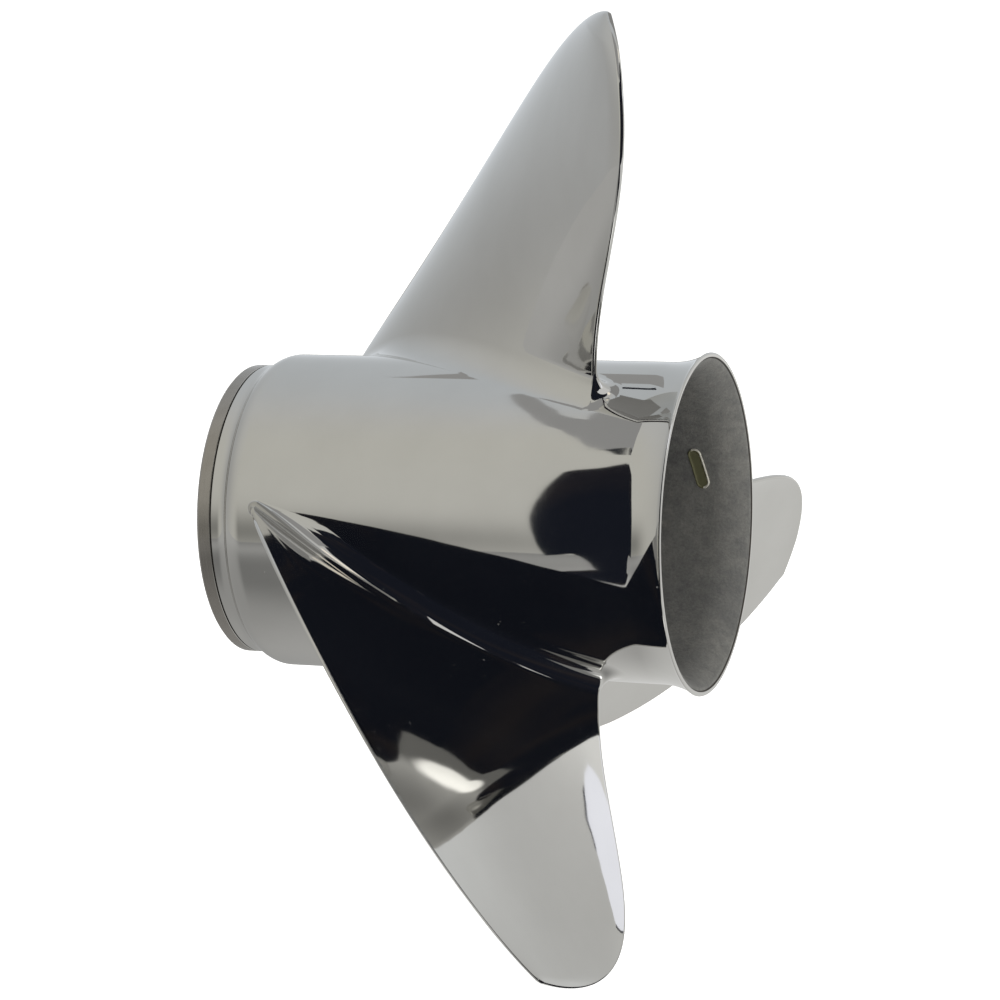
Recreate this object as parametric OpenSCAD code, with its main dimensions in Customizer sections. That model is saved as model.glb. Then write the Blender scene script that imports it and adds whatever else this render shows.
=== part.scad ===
// Through-hub-exhaust boat propeller, right-hand, with a cushioned splined drive hub.
// Millimetres. +X runs along the shaft towards the stern, +Z is up.
// The origin is on the shaft axis where the splined sleeve seats on the thrust washer.

/* [Propeller] */
// Diameter of the circle that the blade tips sweep
prop_d = 332.7; // [300:0.1:360]
// Pitch of the blade face, its advance in one turn, before the cup adds to it
pitch = 546.1; // [440:0.1:640]
// Turn of the blades about the shaft, at which the two lower blades reach equally low
blade_phase = 5; // [0:0.5:60]

/* [Blade outline] */
// Place along the shaft where the tip's own line meets the barrel
blade_x = 82; // [76:0.5:86]
// Leading edge at the root, in degrees from the tip's line
lead_root = -54.5; // [-58:0.5:-50]
// Leading edge, curve handle above the root
lead_low = -50.5; // [-54:0.5:-42]
// Leading edge, curve handle at mid span
lead_mid = -23; // [-30:0.5:-18]
// Leading edge, curve handle below the tip
lead_high = -3; // [-6:0.5:-2]
// Trailing edge at the root, in degrees from the tip's line
trail_root = 15.5; // [8:0.5:18]
// Trailing edge, curve handle above the root
trail_low = 9.5; // [6:0.5:16]
// Trailing edge, curve handle at mid span
trail_mid = 27; // [18:0.5:30]
// Trailing edge, curve handle below the tip
trail_high = -1; // [-1.5:0.5:3]

/* [Blade section] */
// Rake: how far aft the tip stands from the root
rake_lean = 26.5; // [10:0.5:36]
// Extra aft curl of the rake towards the tip
rake_curl = 7.5; // [0:0.5:10]
// Greatest thickness at the root
root_thick = 9.5; // [7:0.1:12]
// Greatest thickness towards the tip
tip_thick = 3.6; // [3:0.1:6]
// Leading edge thickness at the root
lead_thick_root = 1.6; // [1.2:0.1:5]
// Leading edge thickness at the tip
lead_thick_tip = 0.8; // [0.6:0.1:2]
// Trailing edge thickness, all along
trail_thick = 1.8; // [1:0.1:2.6]
// Depth of the cup curled into the trailing edge
cup_depth = 0.6; // [0:0.1:2]
// Width of the cupped strip
cup_width = 7; // [5:0.5:14]
// Fillet radius between blade and barrel
root_fillet = 8; // [4:0.5:10]
// Reach of that fillet ahead of the leading edge
nose_fillet = 2; // [1:0.5:4]

/* [Exhaust barrel] */
// Outer diameter of the barrel
barrel_d = 102.4; // [99:0.1:106]
// Length of the barrel, front rim to rear lip
barrel_len = 156; // [150:0.5:170]
// How far the front rim stands ahead of the thrust seat
rim_ahead = 22; // [20:0.5:26]
// Wall thickness of the barrel
barrel_wall = 4; // [3:0.1:5]
// Step in from the barrel's outside to the turned front rim
rim_step = 3.8; // [2.7:0.1:5.2]
// Width of the turned front rim, ahead of its groove
rim_width = 4.6; // [3.6:0.1:6]
// Bevel on the rim's front corner
rim_bevel = 0.8; // [0.3:0.1:1.5]
// Width of the turned groove behind the rim
groove_width = 0.5; // [0.3:0.1:1.2]
// Depth of that groove
groove_depth = 0.6; // [0.3:0.1:1.2]
// Width of the plain land between that groove and the shoulder
land_width = 4.3; // [2:0.1:6]
// Radius of the rounded shoulder behind the land
shoulder_radius = 9; // [8:0.5:14]
// Wall of the front rim around its bore, which slips over the gearcase collar
collar_wall = 3.9; // [2.9:0.1:6.1]
// Depth of that bore
collar_bore_len = 9.5; // [6:0.5:10]
// How far the flared rear lip stands out beyond the barrel's outside
lip_rise = 3.3; // [1.8:0.1:5.3]
// Thickness of the rear lip
lip_thick = 2; // [1.4:0.1:3]
// Radius of the flare's outer curve
flare_radius = 25; // [9:0.5:30]

/* [Inner hub] */
// Outer diameter of the inner hub
hub_d = 64; // [62:0.5:68]
// Length of the inner hub
hub_len = 82; // [80:0.5:90]
// Distance of the hub's front face behind the thrust seat
hub_setback = 4; // [3:0.5:6]
// Bore of the inner hub, which takes the cushion shell
hub_bore_d = 55; // [53:0.1:56]
// Thickness of the hub's front stop lip
stop_thick = 2.5; // [2:0.1:4]
// How far the stop lip reaches into the bore
stop_reach = 2; // [1.5:0.1:2.5]
// Thickness of the three ribs
rib_thick = 7; // [5:0.1:10]
// Length of the ribs
rib_len = 66; // [50:1:72]
// Angle of the first rib from straight up
rib_phase = 60; // [0:1:120]

/* [Cushion] */
// Wall of the cushion's outer shell
shell_wall = 2.2; // [1.6:0.1:3]
// Height of the shell's drive keys
key_height = 1.8; // [1.2:0.1:2.2]
// Width of the drive keys
key_width = 9; // [6:0.5:12]
// Length of the shell
shell_len = 73; // [64:0.5:73]
// How far the rubber stops short of each end of the shell
rubber_inset = 2; // [1:0.5:5]
// Radial clearance between rubber and splined sleeve
twist_clearance = 0.05; // [0.02:0.01:0.08]
// Thickness of the retaining ring
ring_thick = 1.8; // [1.2:0.1:2.2]
// Depth of the ring's groove in the hub bore
ring_groove = 1.5; // [1:0.1:2]
// Radial width of the retaining ring
ring_width = 4.2; // [3.5:0.1:5]
// Open angle between the ring's two ears
ring_gap = 46; // [30:1:60]
// Diameter of the ring's ears
ear_d = 5.2; // [4.6:0.1:6]
// Diameter of the plier holes in the ears
ear_hole_d = 2.2; // [1.6:0.1:2.4]

/* [Drive core] */
// Outer diameter of the splined sleeve
sleeve_d = 33; // [31:0.1:36]
// Length of the splined sleeve
sleeve_len = 84.5; // [84:0.5:92]
// Number of spline teeth
spline_teeth = 15; // [13:1:17]
// Spline diameter at the tooth tips
spline_tip_d = 22.4; // [22:0.1:23]
// Spline diameter at the tooth roots
spline_root_d = 25.7; // [25.4:0.1:26.2]
// Diameter of the plain pilot bore at the front
pilot_d = 26.2; // [26.2:0.1:27]
// Depth of the pilot bore
pilot_len = 16; // [10:0.5:24]
// Thickness of the thrust washer
washer_len = 12; // [10:0.5:12]
// Outer diameter of the thrust washer's flange
washer_flange_d = 52; // [46:0.5:58]
// Thickness of that flange
washer_flange = 5; // [3:0.5:7]
// Outer diameter of the thrust washer's front face
washer_nose_d = 40; // [38:0.5:44]
// Width of the tapered shaft seat at the washer's front
taper_d = 33.2; // [30:0.1:34]
// Length of the rear spacer
spacer_len = 8; // [6:0.5:12]
// Outer diameter of the rear spacer
spacer_d = 44; // [40:0.5:48]
// Height of the spacer's rear castellations
castle_height = 3; // [2:0.5:4]
// Radial width of the castellations
castle_width = 3; // [2:0.5:4]
// Thickness of the tab lock washer
tab_thick = 1.5; // [1:0.1:2]
// Width of the lock tabs
tab_width = 8; // [5:0.5:10]
// Free space on each side of a tab between the castellations
tab_side_gap = 1; // [0.5:0.1:2]
// Height of the tabs bent up along the nut
tab_height = 6; // [4:0.5:8]
// Gap between the lock washer's plate and the castellations
plate_gap = 0.3; // [0.2:0.1:0.8]
// Width of the nut across its flats
nut_flats = 28.6; // [27:0.1:32]
// Length of the nut's hexagon
nut_len = 15; // [12:0.5:20]
// Diameter of the nut's thread bore
thread_d = 17.6; // [16.8:0.1:18.4]
// Length of the nut's round collar
nut_collar_len = 5; // [4:0.5:7]
// Outer diameter of the nut's round collar
nut_collar_d = 26.2; // [25:0.1:26.8]
// Outer diameter of the nylon locking ring
insert_d = 22.4; // [20.4:0.1:23]
// How far the nylon stands into the thread, all round
insert_grip = 0.3; // [0.1:0.1:0.5]
// Thickness of the nylon locking ring
insert_thick = 3.5; // [2.5:0.1:4]

/* [Bare tag] */
// Length of the small bare tag inside the barrel
tag_len = 14.2; // [10:0.1:16]
// Width of the tag
tag_width = 4.6; // [3:0.1:6]
// Distance of the tag ahead of the rear lip
tag_ahead = 16.3; // [14:0.1:30]
// Angle of the tag around the shaft
tag_angle = -86; // [-180:1:180]
// Slant of the tag against the ring direction
tag_slant = -13; // [-20:1:20]
// Depth of the tag's pocket in the barrel wall
tag_pocket = 0.4; // [0.2:0.1:0.8]
// How far the tag stands proud of the wall
tag_proud = 0.3; // [0.1:0.1:0.6]

/* [Hidden] */
$fn = 96;
blade_count = 3;
step_deg = 360 / blade_count;
over = 1;
arc_steps = 10;

tip_r = prop_d / 2;
helix = pitch / (2 * PI);

barrel_r = barrel_d / 2;
bore_r = barrel_r - barrel_wall;
front_x = -rim_ahead;
rear_x = front_x + barrel_len;
rim_r = barrel_r - rim_step;
collar_r = rim_r - collar_wall;
collar_end = front_x + collar_bore_len;
groove_x = front_x + rim_width;
land_x = groove_x + groove_width;
shoulder_x = land_x + land_width;
shoulder_deg = acos(1 - rim_step / shoulder_radius);
shoulder_end = shoulder_x + shoulder_radius * sin(shoulder_deg);
lip_r = barrel_r + lip_rise;
flare_deg = acos(1 - lip_rise / flare_radius);
flare_len = flare_radius * sin(flare_deg);
flare_x = rear_x - flare_len;
inner_rise = lip_r - lip_thick - bore_r;
inner_flare_radius = (flare_len * flare_len + inner_rise * inner_rise) / (2 * inner_rise);
inner_flare_deg = asin(flare_len / inner_flare_radius);

hub_r = hub_d / 2;
hub_bore_r = hub_bore_d / 2;
hub_front = hub_setback;
hub_rear = hub_front + hub_len;
shell_x = hub_front + stop_thick;
ring_x = shell_x + shell_len;
ring_r = hub_bore_r + ring_groove;
ear_r = ear_d / 2;
rib_x = hub_front + (hub_len - rib_len) / 2;

sleeve_r = sleeve_d / 2;
shell_in_r = hub_bore_r - shell_wall;
spacer_x = sleeve_len;
tab_x = spacer_x + spacer_len;
nut_x = tab_x + tab_thick;
collar_x = nut_x + nut_len;
insert_x = collar_x + nut_collar_len - insert_thick;
castle_in_r = spacer_d / 2 - castle_width;
castle_gap = tab_width + 2 * tab_side_gap;
castles = 6;
outer_tabs = 3;

tag_x = rear_x - tag_ahead;

polished = [0.80, 0.80, 0.79];
turned = [0.66, 0.66, 0.67];
cast = [0.45, 0.45, 0.44];
brass = [0.76, 0.62, 0.33];
bronze = [0.60, 0.45, 0.26];
rubber = [0.10, 0.10, 0.11];
nylon = [0.86, 0.85, 0.80];
olive = [0.42, 0.41, 0.24];

function mix(a, b, t) = a + (b - a) * t;

// Bezier curve of a list of handles, by repeated mixing of neighbours
function bezier(h, t) = len(h) == 1 ? h[0]
    : bezier([for (i = [0 : len(h) - 2]) mix(h[i], h[i + 1], t)], t);

// Points [radius, place along the shaft] of an arc about a centre; 0 degrees points outwards
function arc(centre_r, centre_x, radius, from, to) =
    [for (i = [0 : arc_steps])
        let (a = mix(from, to, i / arc_steps))
            [centre_r + radius * cos(a), centre_x + radius * sin(a)]];

// Turns a shape that stands on the XY plane so that its axis runs along the shaft
module along_shaft(x = 0) {
    translate([x, 0, 0])
        rotate([0, 90, 0])
            children();
}

module tube(x, length, outer_r, inner_r) {
    along_shaft(x)
        difference() {
            cylinder(h = length, r = outer_r);
            translate([0, 0, -over])
                cylinder(h = length + 2 * over, r = inner_r);
        }
}

// Outside of the barrel: rim, groove, land, shoulder, plain length and flare, front to rear
barrel_skin = concat(
    [[rim_r - rim_bevel, front_x], [rim_r, front_x + rim_bevel],
     [rim_r, groove_x], [rim_r - groove_depth, groove_x], [rim_r - groove_depth, land_x], [rim_r, land_x]],
    arc(barrel_r - shoulder_radius, shoulder_end, shoulder_radius, -shoulder_deg, 0),
    arc(barrel_r + flare_radius, flare_x, flare_radius, 180, 180 - flare_deg)
);

// Inside of the barrel, rear to front
barrel_bore = concat(
    arc(bore_r + inner_flare_radius, flare_x, inner_flare_radius, 180 - inner_flare_deg, 180),
    [[bore_r, shoulder_end], [collar_r, collar_end], [collar_r, front_x]]
);

// Round-ended bar that points outwards at the tag's place on the barrel wall
module tag_bar() {
    straight = tag_len - tag_width;
    rotate([tag_angle, 0, 0])
        translate([tag_x, 0, 0])
            rotate([0, 0, tag_slant])
                linear_extrude(height = barrel_r) {
                    square([tag_width, straight], center = true);
                    for (end = [-1, 1])
                        translate([0, end * straight / 2])
                            circle(d = tag_width);
                }
}

module exhaust_barrel() {
    color(polished)
        difference() {
            rotate([0, 90, 0])
                rotate_extrude()
                    polygon(concat(barrel_skin, barrel_bore));
            intersection() {
                tag_bar();
                tube(tag_x - tag_len, 2 * tag_len, bore_r + tag_pocket, bore_r - over);
            }
        }
}

module bare_tag() {
    color(olive)
        intersection() {
            tag_bar();
            tube(tag_x - tag_len, 2 * tag_len, bore_r + tag_pocket, bore_r - tag_proud);
        }
}

// Everything inside the barrel's outer surface, which shapes the blades' seats
module barrel_body() {
    rotate([0, 90, 0])
        rotate_extrude()
            polygon(concat([[0, front_x]], barrel_skin, [[0, rear_x]]));
}

// Blade: sections on cylinders about the shaft, each a flat helical face with a crowned back
side_steps = 14;
cap_steps = 4;
span_steps = 24;
fillet_steps = 5;
toe = 0.25;
root_sink = rim_step + over;
tip_gap = 0.06;
tip_fade = 40;
edge_share = 0.2;
cup_start = 0.4;
nose_run = 0.2;
lead_handles = [lead_root, lead_low, lead_mid, lead_high, 0];
trail_handles = [trail_root, trail_low, trail_mid, trail_high, 0];

// Share of the way from the barrel to the tip
function span_share(r) = max(0, (r - barrel_r) / (tip_r - barrel_r));
// Parameter of the outline curves, which round off towards the tip
function outline_t(r) = 1 - sqrt(max(0, 1 - span_share(r)));
function lead_deg(r) = bezier(lead_handles, outline_t(r));
function trail_deg(r) = bezier(trail_handles, outline_t(r));
function slant_len(r) = sqrt(r * r + helix * helix);
function chord(r) = (trail_deg(r) - lead_deg(r)) * PI / 180 * slant_len(max(r, barrel_r));
function fade(r) = min(1, chord(r) / tip_fade);
function lead_half(r) = min(mix(lead_thick_root, lead_thick_tip, span_share(r)) / 2, edge_share * chord(r));
function trail_half(r) = min(trail_thick / 2, edge_share * chord(r));
function bulge(r) = fade(r) * (mix(root_thick, tip_thick, span_share(r)) - lead_half(r) - trail_half(r));
function edge_half(r, t) = mix(lead_half(r), trail_half(r), t);
function half_thick(r, t) = edge_half(r, t) + 2 * bulge(r) * t * (1 - t);
function cup(r, t) =
    cup_depth * fade(r) * min(1, span_share(r) / cup_start)
    * pow(max(0, 1 - (1 - t) * chord(r) / cup_width), 2);
function camber(r, t) = half_thick(r, t) - edge_half(r, t) - cup(r, t);
// Distance along the chord of the section's spine, which stops short of both rounded edges
function spine(r, t) = mix(lead_half(r), chord(r) - trail_half(r), t);
// Share of the fillet's growth along the chord: least at the leading edge
function nose_share(t) = mix(nose_fillet / root_fillet, 1, min(1, t / nose_run));

// Point on the cylinder of radius r: s along the chord from the leading edge, y towards the back
function blade_point(r, s, y) =
    let (
        lead = lead_deg(r),
        slant = slant_len(r),
        turn = lead + (s + y * helix / r) / slant * 180 / PI,
        share = span_share(r),
        line_x = blade_x + rake_lean * share + rake_curl * share * share
    )
    [line_x + helix * lead * PI / 180 + (s * helix - y * r) / slant, -r * sin(turn), r * cos(turn)];

// Closed section loop at radius r: back, trailing edge, face, leading edge; grow swells it for the fillet
function blade_section(r, grow) = concat(
    [for (i = [0 : side_steps])
        let (t = (1 - cos(180 * i / side_steps)) / 2)
            blade_point(r, spine(r, t), camber(r, t) + half_thick(r, t) + grow * nose_share(t))],
    [for (i = [1 : cap_steps - 1])
        let (a = 90 - 180 * i / cap_steps, e = trail_half(r) + grow)
            blade_point(r, spine(r, 1) + e * cos(a), camber(r, 1) + e * sin(a))],
    [for (i = [side_steps : -1 : 0])
        let (t = (1 - cos(180 * i / side_steps)) / 2)
            blade_point(r, spine(r, t), camber(r, t) - half_thick(r, t) - grow * nose_share(t))],
    [for (i = [1 : cap_steps - 1])
        let (a = 270 - 180 * i / cap_steps, e = lead_half(r) + grow * nose_share(0))
            blade_point(r, spine(r, 0) + e * cos(a), camber(r, 0) + e * sin(a))]
);

toe_deg = acos(1 - toe / root_fillet);
// Stations [radius, fillet growth] from the sunk root through the fillet to the tip
blade_stations = concat(
    [[barrel_r - root_sink, root_fillet * (1 - sin(toe_deg))]],
    [for (i = [0 : fillet_steps])
        let (a = mix(toe_deg, 90, i / fillet_steps))
            [barrel_r + root_fillet * (1 - cos(a)), root_fillet * (1 - sin(a))]],
    [for (i = [1 : span_steps])
        let (t = i / span_steps)
            [mix(barrel_r + root_fillet, tip_r - tip_gap, 1 - (1 - t) * (1 - t)), 0]]
);

loop_len = 2 * (side_steps + 1) + 2 * (cap_steps - 1);
// Triangles between ring k and ring k + 1
function band(k) = [
    for (i = [0 : loop_len - 1])
        let (a = k * loop_len + i, b = k * loop_len + (i + 1) % loop_len)
            for (t = [[a, b, a + loop_len], [b, b + loop_len, a + loop_len]]) t
];
// Triangles that close a ring by zigzagging between its back and its face
function closing(start, flip) = [
    for (i = [0 : loop_len / 2 - 2])
        let (
            half_cap = cap_steps / 2,
            a = start + (i + loop_len - half_cap + 1) % loop_len,
            b = start + (i + loop_len - half_cap + 2) % loop_len,
            c = start + (2 * loop_len - half_cap - i) % loop_len,
            d = start + (2 * loop_len - half_cap - i - 1) % loop_len
        )
        for (t = [[a, c, b], [b, c, d]])
            if (t[0] != t[1] && t[1] != t[2] && t[0] != t[2])
                flip ? [t[0], t[2], t[1]] : t
];

module blade(number) {
    rings = len(blade_stations);
    color(polished)
        difference() {
            rotate([blade_phase + step_deg * (number - 1), 0, 0])
                polyhedron(
                    points = [for (s = blade_stations) each blade_section(s[0], s[1])],
                    faces = concat(
                        [for (k = [0 : rings - 2]) each band(k)],
                        closing(0, false),
                        closing((rings - 1) * loop_len, true)
                    )
                );
            barrel_body();
        }
}

module shell_keys(length) {
    for (k = [0 : blade_count - 1])
        rotate([rib_phase + step_deg * k, 0, 0])
            translate([shell_x, -key_width / 2, shell_in_r + shell_wall / 2])
                cube([length, key_width, shell_wall / 2 + key_height]);
}

module inner_hub() {
    color(cast)
        difference() {
            along_shaft(hub_front)
                cylinder(h = hub_len, r = hub_r);
            along_shaft(hub_front - over)
                cylinder(h = hub_len, r = hub_bore_r - stop_reach);
            along_shaft(shell_x)
                cylinder(h = hub_len, r = hub_bore_r);
            shell_keys(hub_len);
            along_shaft(ring_x)
                cylinder(h = ring_thick, r = ring_r);
        }
}

module rib(number) {
    color(cast)
        intersection() {
            rotate([rib_phase + step_deg * (number - 1), 0, 0])
                translate([rib_x, -rib_thick / 2, 0])
                    cube([rib_len, rib_thick, barrel_r]);
            tube(rib_x - over, rib_len + 2 * over, bore_r, hub_r);
        }
}

module cushion_shell() {
    color(bronze)
        difference() {
            union() {
                along_shaft(shell_x)
                    cylinder(h = shell_len, r = hub_bore_r);
                shell_keys(shell_len);
            }
            along_shaft(shell_x - over)
                cylinder(h = shell_len + 2 * over, r = shell_in_r);
        }
}

module rubber_cushion() {
    color(rubber)
        tube(shell_x + rubber_inset, shell_len - 2 * rubber_inset, shell_in_r, sleeve_r + twist_clearance);
}

// Snap ring with an open gap at the top and an ear with a plier hole at each end
module retaining_ring() {
    mid_r = ring_r - ear_r;
    color(turned)
        along_shaft(ring_x)
            difference() {
                union() {
                    rotate([0, 0, 180 + ring_gap / 2])
                        rotate_extrude(angle = 360 - ring_gap)
                            translate([ring_r - ring_width, 0])
                                square([ring_width, ring_thick]);
                    for (side = [-1, 1])
                        rotate([0, 0, 180 + side * ring_gap / 2])
                            translate([mid_r, 0, 0])
                                cylinder(h = ring_thick, r = ear_r);
                }
                for (side = [-1, 1])
                    rotate([0, 0, 180 + side * ring_gap / 2])
                        translate([mid_r, 0, -over])
                            cylinder(h = ring_thick + 2 * over, d = ear_hole_d);
            }
}

module splined_sleeve() {
    tip_circle = spline_tip_d / 2;
    root_circle = spline_root_d / 2;
    space_width = PI * (tip_circle + root_circle) / spline_teeth / 2;
    color(brass)
        difference() {
            along_shaft()
                cylinder(h = sleeve_len, r = sleeve_r);
            along_shaft(-over)
                cylinder(h = sleeve_len + 2 * over, r = tip_circle);
            intersection() {
                along_shaft(-over)
                    cylinder(h = sleeve_len + 2 * over, r = root_circle);
                for (k = [0 : spline_teeth - 1])
                    rotate([360 / spline_teeth * k, 0, 0])
                        translate([-over, -space_width / 2, 0])
                            cube([sleeve_len + 2 * over, space_width, sleeve_r]);
            }
            along_shaft(-over)
                cylinder(h = pilot_len + over, r = pilot_d / 2);
        }
}

module thrust_washer() {
    color(bronze)
        rotate([0, 90, 0])
            rotate_extrude()
                polygon([
                    [pilot_d / 2, 0], [taper_d / 2, -washer_len],
                    [washer_nose_d / 2, -washer_len], [washer_nose_d / 2, -washer_flange],
                    [washer_flange_d / 2, -washer_flange], [washer_flange_d / 2, 0]
                ]);
}

module rear_spacer() {
    color(turned)
        difference() {
            along_shaft(spacer_x)
                cylinder(h = spacer_len + castle_height, r = spacer_d / 2);
            along_shaft(spacer_x - over)
                cylinder(h = spacer_len + castle_height + 2 * over, r = spline_root_d / 2);
            along_shaft(tab_x)
                cylinder(h = castle_height + over, r = castle_in_r);
            for (k = [0 : castles - 1])
                rotate([360 / castles * k, 0, 0])
                    translate([tab_x, -castle_gap / 2, 0])
                        cube([castle_height + over, castle_gap, spacer_d]);
        }
}

// Flat washer with three tabs out through the castellations and two bent up along the nut
module tab_washer() {
    plate_r = castle_in_r - plate_gap;
    color(turned)
        difference() {
            union() {
                along_shaft(tab_x)
                    cylinder(h = tab_thick, r = plate_r);
                for (k = [0 : outer_tabs - 1])
                    rotate([360 / outer_tabs * k, 0, 0])
                        translate([tab_x, -tab_width / 2, 0])
                            cube([tab_thick, tab_width, spacer_d / 2]);
                for (side = [0, 180])
                    rotate([side, 0, 0])
                        translate([tab_x, -tab_width / 2, nut_flats / 2])
                            cube([tab_thick + tab_height, tab_width, tab_thick]);
            }
            along_shaft(tab_x - over)
                cylinder(h = tab_thick + 2 * over, r = thread_d / 2 + over);
        }
}

module prop_nut() {
    corner_r = nut_flats / 2 / cos(30);
    bevel = corner_r - nut_flats / 2;
    color(turned)
        difference() {
            union() {
                intersection() {
                    along_shaft(nut_x)
                        rotate([0, 0, 30])
                            cylinder(h = nut_len, r = corner_r, $fn = 6);
                    along_shaft(nut_x)
                        rotate_extrude()
                            polygon([[0, 0], [corner_r, 0], [corner_r, nut_len - bevel / 2],
                                     [corner_r - bevel, nut_len], [0, nut_len]]);
                }
                along_shaft(nut_x)
                    cylinder(h = nut_len + nut_collar_len, d = nut_collar_d);
            }
            along_shaft(nut_x - over)
                cylinder(h = nut_len + nut_collar_len + 2 * over, r = thread_d / 2);
            along_shaft(insert_x)
                cylinder(h = insert_thick + over, d = insert_d);
        }
}

module nut_insert() {
    color(nylon)
        tube(insert_x, insert_thick, insert_d / 2, thread_d / 2 - insert_grip);
}

exhaust_barrel();
blade(1);  // blade_1
blade(2);  // blade_2
blade(3);  // blade_3
inner_hub();
rib(1);  // rib_1
rib(2);  // rib_2
rib(3);  // rib_3
bare_tag();
cushion_shell();
rubber_cushion();
retaining_ring();
splined_sleeve();
thrust_washer();
rear_spacer();
tab_washer();
prop_nut();
nut_insert();
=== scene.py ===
# %% [markdown]
# A polished boat propeller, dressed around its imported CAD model.
# The CAD model holds the sizes, the bodies and the one joint, a rubber hub that twists on its drive core.
# This lesson rebuilds the polished casting as smooth surfaces, because a mirror shows every flat facet,
# and gives the machined hub pieces inside their own finishes.

# %% Load the frame
import math

import bpy
import numpy as np
from mathutils import Matrix, Vector


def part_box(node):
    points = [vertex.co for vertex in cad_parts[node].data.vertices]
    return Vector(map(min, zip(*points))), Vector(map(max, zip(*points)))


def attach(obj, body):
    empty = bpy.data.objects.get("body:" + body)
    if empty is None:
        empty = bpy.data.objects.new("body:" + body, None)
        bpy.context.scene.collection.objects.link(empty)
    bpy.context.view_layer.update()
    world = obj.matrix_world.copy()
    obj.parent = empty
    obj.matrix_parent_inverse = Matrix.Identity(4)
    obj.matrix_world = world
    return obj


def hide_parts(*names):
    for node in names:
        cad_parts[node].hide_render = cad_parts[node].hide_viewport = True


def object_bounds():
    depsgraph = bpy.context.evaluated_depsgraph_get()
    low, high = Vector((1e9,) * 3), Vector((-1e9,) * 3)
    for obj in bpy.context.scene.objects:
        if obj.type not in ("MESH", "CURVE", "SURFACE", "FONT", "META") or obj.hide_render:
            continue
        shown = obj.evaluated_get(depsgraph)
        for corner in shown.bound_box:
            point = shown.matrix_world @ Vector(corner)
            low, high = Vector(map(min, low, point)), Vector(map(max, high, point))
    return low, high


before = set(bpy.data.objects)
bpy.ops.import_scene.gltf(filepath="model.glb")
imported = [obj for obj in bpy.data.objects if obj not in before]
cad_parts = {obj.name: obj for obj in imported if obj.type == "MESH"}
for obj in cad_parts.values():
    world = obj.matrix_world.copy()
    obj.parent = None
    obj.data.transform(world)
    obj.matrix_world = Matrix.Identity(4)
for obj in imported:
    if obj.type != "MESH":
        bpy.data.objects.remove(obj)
cad_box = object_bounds()
print("CAD box in metres:", [tuple(round(c, 4) for c in corner) for corner in cad_box])

# %% [markdown]
# The casting's sizes are written in millimetres and become metres in one place.
# The ends of the barrel and the radius of its lip come from the frame itself;
# the rest are the same round sizes that the CAD model is drawn from.

# %% Sizes of the casting
MM = 0.001
barrel_low, barrel_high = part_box("exhaust_barrel")
front_x = barrel_low.x / MM
rear_x = barrel_high.x / MM
lip_r = barrel_high.z / MM
tip_r = 332.7 / 2
barrel_r = 102.4 / 2
barrel_wall = 4.0
bore_r = barrel_r - barrel_wall
rim_step = 3.8
rim_r = barrel_r - rim_step
rim_width = 4.6
land_width = 4.3
rim_bevel = 0.8
groove_width = 0.5
groove_depth = 0.6
shoulder_radius = 9.0
collar_bore_r = 87.0 / 2
collar_bore_len = 9.5
lip_thick = 2.0
flare_radius = 25.0
pitch = 546.1
blade_phase = 5.0
blade_count = 3
print(f"barrel {rear_x - front_x:.1f} mm long, lip radius {lip_r:.2f} mm, tip radius {tip_r:.2f} mm")

# %% [markdown]
# Every new piece is a grid of points worked out with numpy and turned into quads.
# One function does that for all of them: rows run along the piece, columns run around it.
# A closing strip joins opposite sides of an end row, so that a blade is a closed solid with no hole.

# %% Turning a grid of points into a mesh


def ring_quads(rows, columns):
    """Quads between neighbouring rows of a grid whose columns close on themselves."""
    row = np.arange(rows - 1)[:, None] * columns
    column = np.arange(columns)[None, :]
    beside = (column + 1) % columns
    corners = (row + column, row + beside, row + columns + beside, row + columns + column)
    return np.stack(np.broadcast_arrays(*corners), axis=-1).reshape(-1, 4)


def closing_faces(start, columns, flip):
    """Faces that close one ring by pairing column i with column -i, like the rungs of a ladder."""
    half = columns // 2
    i = np.arange(1, half - 1)
    rungs = np.stack((i, i + 1, columns - i - 1, columns - i), axis=-1) + start
    ends = np.array(((0, 1, columns - 1), (half, half + 1, half - 1))) + start
    faces = rungs.tolist() + ends.tolist()
    return [face[::-1] for face in faces] if flip else faces


def mesh_piece(name, points, faces, materials, slots=None, sharp_deg=None):
    """A mesh object at the origin from points in millimetres, shaded smooth up to a crease angle."""
    mesh = bpy.data.meshes.new(name)
    mesh.from_pydata((np.asarray(points).reshape(-1, 3) * MM).tolist(), [], faces)
    for material in materials:
        mesh.materials.append(material)
    if slots is not None:
        mesh.polygons.foreach_set("material_index", np.asarray(slots, dtype=np.int32))
    mesh.shade_smooth()
    if sharp_deg is not None:
        mesh.set_sharp_from_angle(angle=math.radians(sharp_deg))
    mesh.validate()
    piece = bpy.data.objects.new(name, mesh)
    bpy.context.scene.collection.objects.link(piece)
    print(f"{name}: {len(mesh.vertices)} points, {len(mesh.polygons)} faces")
    return piece


# %% [markdown]
# Colours are written as sRGB hex values, as a paint chart gives them, and turned to linear light here.
# One small function adds a shader node, sets its values and links its inputs, so that each finish below
# reads as a short list of what the real surface does.

# %% Colour and node helpers


def linear(hex_colour):
    """Linear RGBA of an sRGB hex colour."""
    srgb = np.array([int(hex_colour[i:i + 2], 16) for i in (1, 3, 5)]) / 255
    rgb = np.where(srgb <= 0.04045, srgb / 12.92, ((srgb + 0.055) / 1.055) ** 2.4)
    return (*rgb.tolist(), 1.0)


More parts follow.
